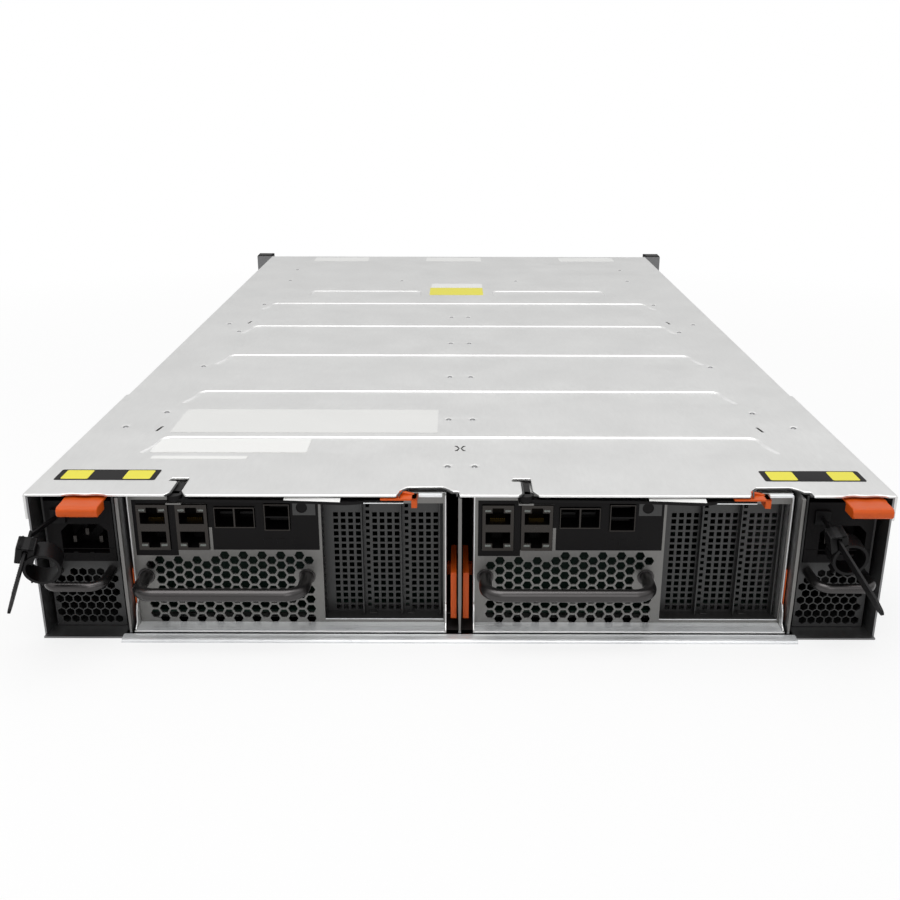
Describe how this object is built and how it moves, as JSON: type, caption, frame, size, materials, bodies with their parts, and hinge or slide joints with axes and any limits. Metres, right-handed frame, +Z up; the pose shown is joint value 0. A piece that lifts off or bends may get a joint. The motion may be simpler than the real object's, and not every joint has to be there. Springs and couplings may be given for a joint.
{
  "type": "rack storage enclosure",
  "caption": "2U rack storage array enclosure with controller canisters, power supplies and a row of small drives, each on its own slide.",
  "frame": {"origin": "middle of the enclosure base, below the rear edge of the top cover", "axes": "+X to the right seen from the rear service side, +Y towards the drives at the front, +Z up"},
  "size_m": [0.4826, 0.834, 0.0836],
  "materials": {
    "zinc_sheet": "zinc-coated sheet steel, satin",
    "bright_steel": "bright folded steel",
    "grey_steel": "satin grey",
    "dark_steel": "dark satin coating",
    "black_steel": "black satin coating",
    "black_plastic": "fine moulded texture",
    "black_nylon": "moulded nylon",
    "orange_plastic": "satin moulded touch point",
    "circuit_board": "solder-mask green with metal cages",
    "drive_carrier": "dark carrier with a grey lever"
  },
  "bodies": {
    "chassis": {"chassis_tray": "zinc_sheet", "top_cover": "zinc_sheet", "bay_dividers": "zinc_sheet", "rear_sill": "bright_steel", "midplane_board": "circuit_board", "drive_cage": "zinc_sheet", "end_cap_left": "black_plastic", "end_cap_right": "black_plastic"},
    "canister_left": {"canister_left_casing": "zinc_sheet", "canister_left_face": "grey_steel", "canister_left_handle": "dark_steel", "canister_left_blanks": "grey_steel", "canister_left_board": "circuit_board"},
    "canister_left_lever": {"canister_left_lever": "black_steel"},
    "canister_left_latch": {"canister_left_latch": "orange_plastic"},
    "canister_right": {"canister_right_casing": "zinc_sheet", "canister_right_face": "grey_steel", "canister_right_handle": "dark_steel", "canister_right_blanks": "grey_steel", "canister_right_board": "circuit_board"},
    "canister_right_lever": {"canister_right_lever": "black_steel"},
    "canister_right_latch": {"canister_right_latch": "orange_plastic"},
    "power_left": {"power_left_case": "grey_steel", "power_left_panel": "black_plastic", "power_left_handle": "dark_steel", "power_left_strap": "black_nylon"},
    "power_left_latch": {"power_left_latch": "orange_plastic"},
    "power_left_fan": {"power_left_fan": "black_plastic"},
    "power_left_clamp": {"power_left_clamp": "black_nylon"},
    "power_right": {"power_right_case": "grey_steel", "power_right_panel": "black_plastic", "power_right_handle": "dark_steel", "power_right_strap": "black_nylon"},
    "power_right_latch": {"power_right_latch": "orange_plastic"},
    "power_right_fan": {"power_right_fan": "black_plastic"},
    "power_right_clamp": {"power_right_clamp": "black_nylon"},
    "drive_01": {"drive_01": "drive_carrier"},
    "drive_02": {"drive_02": "drive_carrier"},
    "drive_03": {"drive_03": "drive_carrier"},
    "drive_04": {"drive_04": "drive_carrier"},
    "drive_05": {"drive_05": "drive_carrier"},
    "drive_06": {"drive_06": "drive_carrier"},
    "drive_07": {"drive_07": "drive_carrier"},
    "drive_08": {"drive_08": "drive_carrier"},
    "drive_09": {"drive_09": "drive_carrier"},
    "drive_10": {"drive_10": "drive_carrier"},
    "drive_11": {"drive_11": "drive_carrier"},
    "drive_12": {"drive_12": "drive_carrier"},
    "drive_13": {"drive_13": "drive_carrier"},
    "drive_14": {"drive_14": "drive_carrier"},
    "drive_15": {"drive_15": "drive_carrier"},
    "drive_16": {"drive_16": "drive_carrier"},
    "drive_17": {"drive_17": "drive_carrier"},
    "drive_18": {"drive_18": "drive_carrier"},
    "drive_19": {"drive_19": "drive_carrier"},
    "drive_20": {"drive_20": "drive_carrier"},
    "drive_21": {"drive_21": "drive_carrier"},
    "drive_22": {"drive_22": "drive_carrier"},
    "drive_23": {"drive_23": "drive_carrier"},
    "drive_24": {"drive_24": "drive_carrier"}
  },
  "joints": [
    {"name": "canister_left_lever_swing", "type": "hinge", "parent": "canister_left", "child": "canister_left_lever", "pos_m": [-0.1482, 0.005, 0.0786], "axis": [0, 0, -1], "range_deg": [0, 75]},
    {"name": "canister_left_latch_press", "type": "slide", "parent": "canister_left_lever", "child": "canister_left_latch", "axis": [-1, 0, 0], "range_m": [0, 0.003], "stiffness_N_per_m": 300, "springref_m": -0.001},
    {"name": "canister_right_lever_swing", "type": "hinge", "parent": "canister_right", "child": "canister_right_lever", "pos_m": [0.0342, 0.005, 0.0786], "axis": [0, 0, -1], "range_deg": [0, 75]},
    {"name": "canister_right_latch_press", "type": "slide", "parent": "canister_right_lever", "child": "canister_right_latch", "axis": [-1, 0, 0], "range_m": [0, 0.003], "stiffness_N_per_m": 300, "springref_m": -0.001},
    {"name": "power_left_latch_press", "type": "hinge", "parent": "power_left", "child": "power_left_latch", "pos_m": [-0.1937, 0.062, 0.0801], "axis": [1, 0, 0], "range_deg": [0, 3.5], "stiffness_Nm_per_rad": 3, "springref_deg": -2.86},
    {"name": "power_right_latch_press", "type": "hinge", "parent": "power_right", "child": "power_right_latch", "pos_m": [0.2087, 0.062, 0.0801], "axis": [1, 0, 0], "range_deg": [0, 3.5], "stiffness_Nm_per_rad": 3, "springref_deg": -2.86},
    {"name": "power_left_clamp_slide", "type": "slide", "parent": "power_left", "child": "power_left_clamp", "axis": [0.1739, -0.9564, -0.2347], "range_m": [0, 0.03]},
    {"name": "power_right_clamp_slide", "type": "slide", "parent": "power_right", "child": "power_right_clamp", "axis": [0.0206, -0.9881, -0.1523], "range_m": [0, 0.03]},
    {"name": "power_left_slide", "type": "slide", "parent": "chassis", "child": "power_left", "axis": [0, -1, 0], "range_m": [0, 0.56]},
    {"name": "power_right_slide", "type": "slide", "parent": "chassis", "child": "power_right", "axis": [0, -1, 0], "range_m": [0, 0.56]},
    {"name": "canister_left_slide", "type": "slide", "parent": "chassis", "child": "canister_left", "axis": [0, -1, 0], "range_m": [0, 0.57]},
    {"name": "canister_right_slide", "type": "slide", "parent": "chassis", "child": "canister_right", "axis": [0, -1, 0], "range_m": [0, 0.57]},
    {"name": "power_left_fan_spin", "type": "hinge", "parent": "power_left", "child": "power_left_fan", "pos_m": [-0.2012, 0.036, 0.02115], "axis": [0, 1, 0], "continuous": true},
    {"name": "power_right_fan_spin", "type": "hinge", "parent": "power_right", "child": "power_right_fan", "pos_m": [0.2012, 0.036, 0.02115], "axis": [0, 1, 0], "continuous": true},
    {"name": "drive_01_slide", "type": "slide", "parent": "chassis", "child": "drive_01", "axis": [0, 1, 0], "range_m": [0, 0.2]},
    {"name": "drive_02_slide", "type": "slide", "parent": "chassis", "child": "drive_02", "axis": [0, 1, 0], "range_m": [0, 0.2]},
    {"name": "drive_03_slide", "type": "slide", "parent": "chassis", "child": "drive_03", "axis": [0, 1, 0], "range_m": [0, 0.2]},
    {"name": "drive_04_slide", "type": "slide", "parent": "chassis", "child": "drive_04", "axis": [0, 1, 0], "range_m": [0, 0.2]},
    {"name": "drive_05_slide", "type": "slide", "parent": "chassis", "child": "drive_05", "axis": [0, 1, 0], "range_m": [0, 0.2]},
    {"name": "drive_06_slide", "type": "slide", "parent": "chassis", "child": "drive_06", "axis": [0, 1, 0], "range_m": [0, 0.2]},
    {"name": "drive_07_slide", "type": "slide", "parent": "chassis", "child": "drive_07", "axis": [0, 1, 0], "range_m": [0, 0.2]},
    {"name": "drive_08_slide", "type": "slide", "parent": "chassis", "child": "drive_08", "axis": [0, 1, 0], "range_m": [0, 0.2]},
    {"name": "drive_09_slide", "type": "slide", "parent": "chassis", "child": "drive_09", "axis": [0, 1, 0], "range_m": [0, 0.2]},
    {"name": "drive_10_slide", "type": "slide", "parent": "chassis", "child": "drive_10", "axis": [0, 1, 0], "range_m": [0, 0.2]},
    {"name": "drive_11_slide", "type": "slide", "parent": "chassis", "child": "drive_11", "axis": [0, 1, 0], "range_m": [0, 0.2]},
    {"name": "drive_12_slide", "type": "slide", "parent": "chassis", "child": "drive_12", "axis": [0, 1, 0], "range_m": [0, 0.2]},
    {"name": "drive_13_slide", "type": "slide", "parent": "chassis", "child": "drive_13", "axis": [0, 1, 0], "range_m": [0, 0.2]},
    {"name": "drive_14_slide", "type": "slide", "parent": "chassis", "child": "drive_14", "axis": [0, 1, 0], "range_m": [0, 0.2]},
    {"name": "drive_15_slide", "type": "slide", "parent": "chassis", "child": "drive_15", "axis": [0, 1, 0], "range_m": [0, 0.2]},
    {"name": "drive_16_slide", "type": "slide", "parent": "chassis", "child": "drive_16", "axis": [0, 1, 0], "range_m": [0, 0.2]},
    {"name": "drive_17_slide", "type": "slide", "parent": "chassis", "child": "drive_17", "axis": [0, 1, 0], "range_m": [0, 0.2]},
    {"name": "drive_18_slide", "type": "slide", "parent": "chassis", "child": "drive_18", "axis": [0, 1, 0], "range_m": [0, 0.2]},
    {"name": "drive_19_slide", "type": "slide", "parent": "chassis", "child": "drive_19", "axis": [0, 1, 0], "range_m": [0, 0.2]},
    {"name": "drive_20_slide", "type": "slide", "parent": "chassis", "child": "drive_20", "axis": [0, 1, 0], "range_m": [0, 0.2]},
    {"name": "drive_21_slide", "type": "slide", "parent": "chassis", "child": "drive_21", "axis": [0, 1, 0], "range_m": [0, 0.2]},
    {"name": "drive_22_slide", "type": "slide", "parent": "chassis", "child": "drive_22", "axis": [0, 1, 0], "range_m": [0, 0.2]},
    {"name": "drive_23_slide", "type": "slide", "parent": "chassis", "child": "drive_23", "axis": [0, 1, 0], "range_m": [0, 0.2]},
    {"name": "drive_24_slide", "type": "slide", "parent": "chassis", "child": "drive_24", "axis": [0, 1, 0], "range_m": [0, 0.2]}
  ]
}
